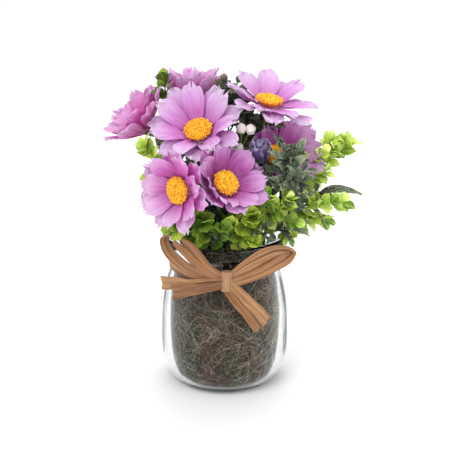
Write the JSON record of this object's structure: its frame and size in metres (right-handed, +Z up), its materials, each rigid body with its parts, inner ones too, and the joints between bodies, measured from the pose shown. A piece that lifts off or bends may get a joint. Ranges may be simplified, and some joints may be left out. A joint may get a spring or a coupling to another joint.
{
  "type": "flower arrangement in jar",
  "caption": "Cloth chrysanthemum blooms with leafy sprigs and small buds, standing in a glass jar packed with dark fibre, a raffia bow round its neck.",
  "frame": {"origin": "the centre of the jar's flat foot, on the surface it stands on", "axes": "+Z up along the jar's axis, -Y towards the viewer of the picture and the bow, +X to that viewer's right"},
  "size_m": [0.1702, 0.1355, 0.2114],
  "materials": {
    "glass": "clear, glossy",
    "fibre": "matted dark fibre with a few green strands",
    "raffia": "satin dried raffia with lengthwise folds",
    "petal": "matte cloth, pale lilac tips and deep magenta roots",
    "centre": "matte, finely grained yellow",
    "stem": "satin green",
    "lime": "satin lime green",
    "leaf": "satin mid green",
    "frosted": "grey green with a pale bloom",
    "berry": "dull grey green",
    "white": "matte cream white",
    "violet": "satin blue violet with pale edges"
  },
  "bodies": {
    "root": {"berries": "berry", "centre_back": "centre", "centre_front": "centre", "centre_left": "centre", "centre_low_left": "centre", "centre_low_right": "centre", "centre_right": "centre", "centre_top_right": "centre", "fibre": "fibre", "jar": "glass", "petals_back": "petal", "petals_front": "petal", "petals_left": "petal", "petals_low_left": "petal", "petals_low_right": "petal", "petals_right": "petal", "petals_top_right": "petal", "raffia_band": "raffia", "raffia_bow": "raffia", "sprig_box_back": "lime", "sprig_box_front": "lime", "sprig_box_left": "lime", "sprig_box_low_right": "lime", "sprig_box_right": "lime", "sprig_box_top_left": "leaf", "sprig_frosted_back": "frosted", "sprig_frosted_left": "frosted", "sprig_frosted_low_right": "frosted", "sprig_frosted_right": "frosted", "sprig_frosted_rim": "frosted", "sprig_ribbed_back": "leaf", "sprig_ribbed_front": "lime", "sprig_ribbed_left": "leaf", "sprig_rim_left": "lime", "stem_back": "stem", "stem_front": "stem", "stem_left": "stem", "stem_low_left": "stem", "stem_low_right": "stem", "stem_right": "stem", "stem_top_right": "stem", "violet_bud": "violet", "white_buds": "white"}
  },
  "joints": []
}
